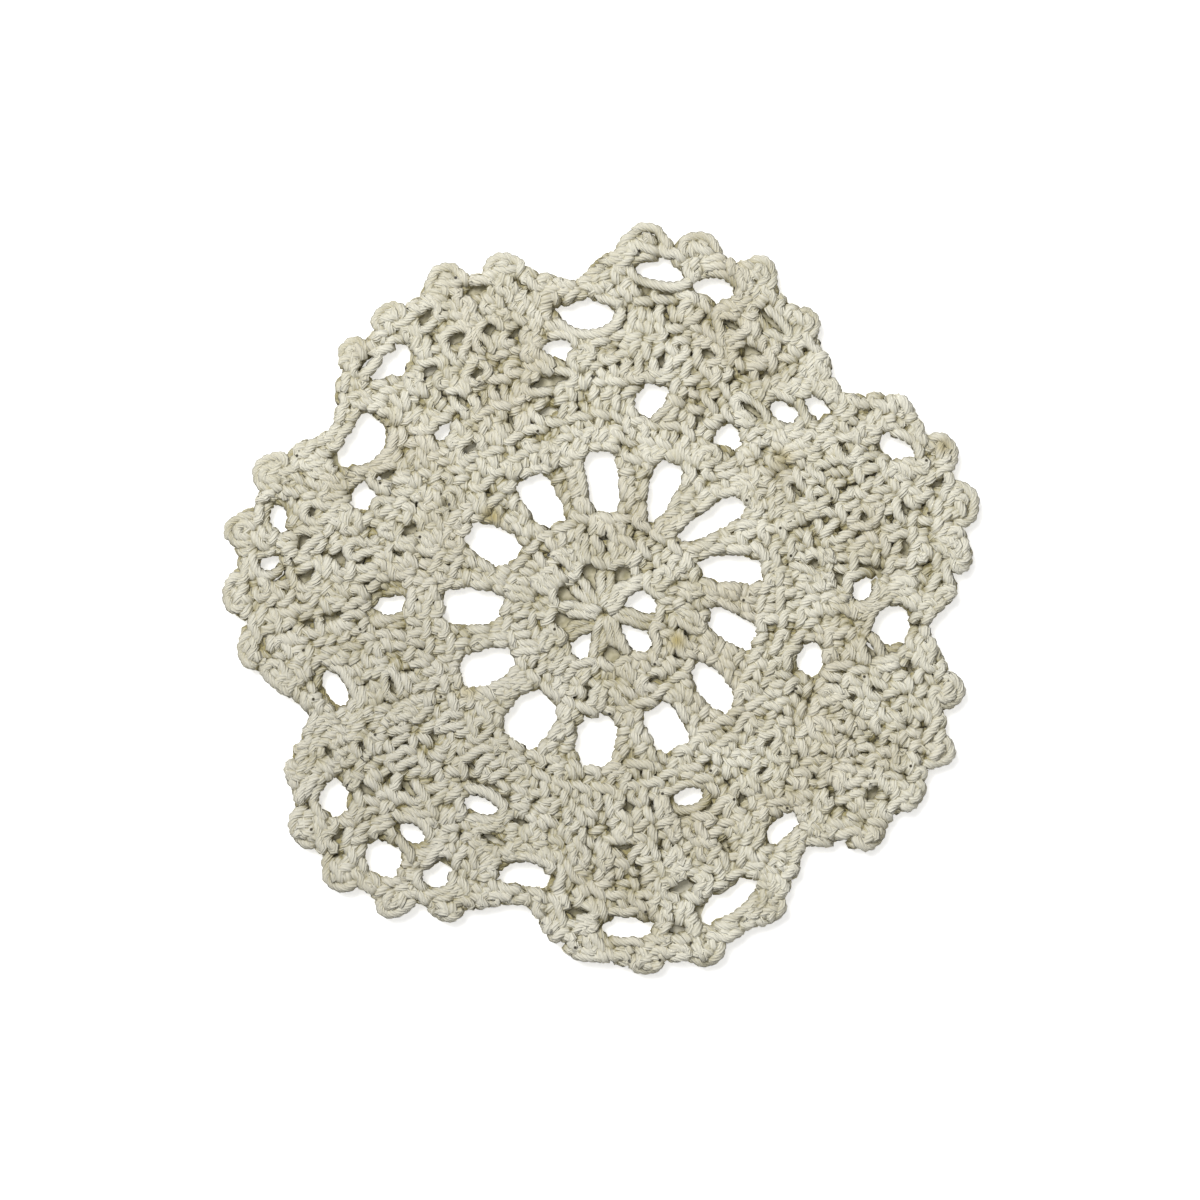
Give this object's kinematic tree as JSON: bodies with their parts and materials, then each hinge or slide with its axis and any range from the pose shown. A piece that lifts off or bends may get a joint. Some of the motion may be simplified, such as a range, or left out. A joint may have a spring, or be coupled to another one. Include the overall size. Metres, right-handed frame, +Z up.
{
  "type": "crochet coaster",
  "caption": "Round lacy coaster crocheted in cream cotton yarn, with spokes round a dense middle, soft lobes and a picot rim. It lies flat under a cup or a dish.",
  "frame": {"origin": "centre of the mat's bounding box, on its flat underside", "axes": "+Z up through the mat's thickness, with the side shown in the picture facing +Z; +Y is the picture's upward direction and +X its right"},
  "size_m": [0.2012, 0.2, 0.0049],
  "materials": {
    "cotton_yarn": "matt plied cotton yarn, undyed cream"
  },
  "bodies": {
    "root": {"crochet_mat": "cotton_yarn"}
  },
  "joints": []
}
